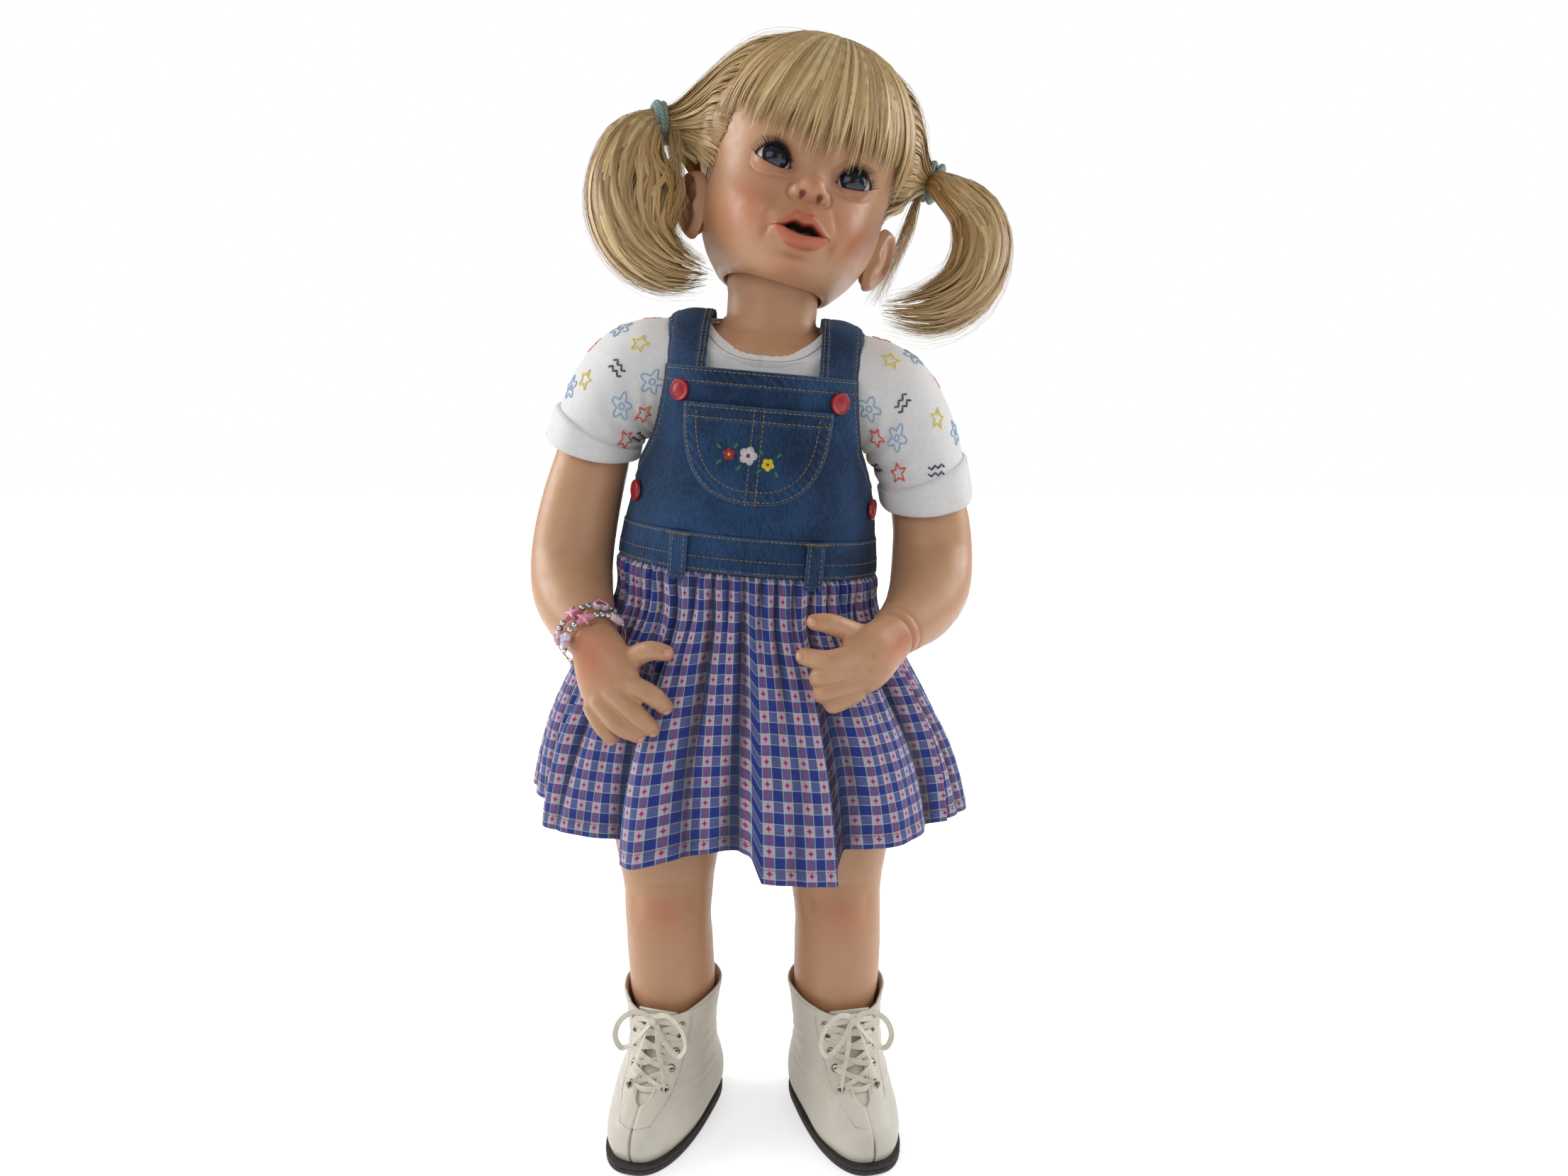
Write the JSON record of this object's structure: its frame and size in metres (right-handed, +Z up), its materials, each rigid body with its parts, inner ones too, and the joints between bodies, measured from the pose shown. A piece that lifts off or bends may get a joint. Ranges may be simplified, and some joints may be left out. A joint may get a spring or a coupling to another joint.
{
  "type": "vinyl artist doll",
  "caption": "Standing vinyl doll with blond pigtails, T-shirt, denim bib dress with checked skirt, laced boots and bead bracelets; head, arms and legs turn on inner joints.",
  "frame": {"origin": "middle of the bounding box in X and Y, on the floor under the soles", "axes": "+Z up along the height, the doll faces -Y, and its own left side is +X"},
  "size_m": [0.3955, 0.2701, 0.9312],
  "materials": {
    "vinyl_skin": "satin vinyl, tan skin tone",
    "eye_glass": "polished glass, dark blue-grey iris",
    "lash": "fine dark brown hair",
    "hair": "straight honey-blond hair",
    "wig_net": "net base",
    "hair_tie": "covered elastic, pale grey-green",
    "stuffed_core": "firm stuffed cloth",
    "joint_plastic": "hard plastic discs",
    "bolt_steel": "plated steel",
    "jersey": "white cotton jersey",
    "denim": "dark blue denim, pale top stitching",
    "button_plastic": "glossy dark red",
    "gingham": "woven blue and white check",
    "boot_leather": "smooth white leather",
    "sole_rubber": "black rubber",
    "lace_fabric": "flat cream ribbon",
    "bead_plastic": "coloured beads"
  },
  "bodies": {
    "torso": {"breastplate": "vinyl_skin", "torso_body": "stuffed_core", "shoulder_disc_left": "joint_plastic", "shoulder_disc_right": "joint_plastic", "shoulder_bolt_left": "bolt_steel", "shoulder_bolt_right": "bolt_steel", "hip_disc_left": "joint_plastic", "hip_disc_right": "joint_plastic", "hip_bolt_left": "bolt_steel", "hip_bolt_right": "bolt_steel", "tshirt_body": "jersey", "tshirt_neckband": "jersey", "bib_front": "denim", "dress_back": "denim", "bib_pocket": "denim", "waistband": "denim", "strap_left": "denim", "strap_right": "denim", "belt_loop_left": "denim", "belt_loop_right": "denim", "bib_button_left": "button_plastic", "bib_button_right": "button_plastic", "side_button_left": "button_plastic", "side_button_right": "button_plastic", "skirt": "gingham"},
    "neck_swivel": {"neck_disc": "joint_plastic"},
    "neck_nod": {"neck_rocker": "joint_plastic"},
    "head": {"head_shell": "vinyl_skin", "wig_cap": "wig_net", "wig_hair": "hair", "wig_fringe": "hair", "eye_left": "eye_glass", "eye_right": "eye_glass", "eyelash_left": "lash", "eyelash_right": "lash", "pigtail_left": "hair", "pigtail_right": "hair", "hair_tie_left": "hair_tie", "hair_tie_right": "hair_tie"},
    "arm_left": {"arm_left": "vinyl_skin", "tshirt_sleeve_left": "jersey", "tshirt_cuff_left": "jersey"},
    "arm_right": {"arm_right": "vinyl_skin", "tshirt_sleeve_right": "jersey", "tshirt_cuff_right": "jersey", "bracelet_upper": "bead_plastic", "bracelet_lower": "bead_plastic"},
    "leg_left": {"leg_left": "vinyl_skin", "boot_sole_left": "sole_rubber", "boot_upper_left": "boot_leather", "boot_tongue_left": "boot_leather", "boot_lace_left": "lace_fabric"},
    "leg_right": {"leg_right": "vinyl_skin", "boot_sole_right": "sole_rubber", "boot_upper_right": "boot_leather", "boot_tongue_right": "boot_leather", "boot_lace_right": "lace_fabric"}
  },
  "joints": [
    {"name": "head_turn", "type": "hinge", "parent": "torso", "child": "neck_swivel", "pos_m": [0.01146, 0.006, 0.7269], "axis": [0.0872, 0, 0.9962], "range_deg": [-25, 25], "deforming": ["pigtail_left", "pigtail_right"]},
    {"name": "head_nod", "type": "hinge", "parent": "neck_swivel", "child": "neck_nod", "pos_m": [0.01146, 0.006, 0.7269], "axis": [0.9962, 0, -0.0872], "range_deg": [0, 14], "deforming": ["pigtail_left", "pigtail_right"]},
    {"name": "head_tilt", "type": "hinge", "parent": "neck_nod", "child": "head", "pos_m": [0.01146, 0.006, 0.7269], "axis": [0, 1, 0], "range_deg": [-14, 0], "deforming": ["pigtail_left", "pigtail_right"]},
    {"name": "shoulder_left", "type": "hinge", "parent": "torso", "child": "arm_left", "pos_m": [0.10568, 0.006, 0.64037], "axis": [-0.9962, 0, 0.0872], "range_deg": [0, 80]},
    {"name": "shoulder_right", "type": "hinge", "parent": "torso", "child": "arm_right", "pos_m": [-0.10153, 0.006, 0.6585], "axis": [-0.9962, 0, 0.0872], "range_deg": [0, 80]},
    {"name": "hip_left", "type": "hinge", "parent": "torso", "child": "leg_left", "pos_m": [0.0715, 0.002, 0.395], "axis": [-1, 0, 0], "range_deg": [-15, 45], "deforming": ["skirt"]},
    {"name": "hip_right", "type": "hinge", "parent": "torso", "child": "leg_right", "pos_m": [-0.0925, 0.002, 0.395], "axis": [-1, 0, 0], "range_deg": [-15, 45], "deforming": ["skirt"]}
  ]
}
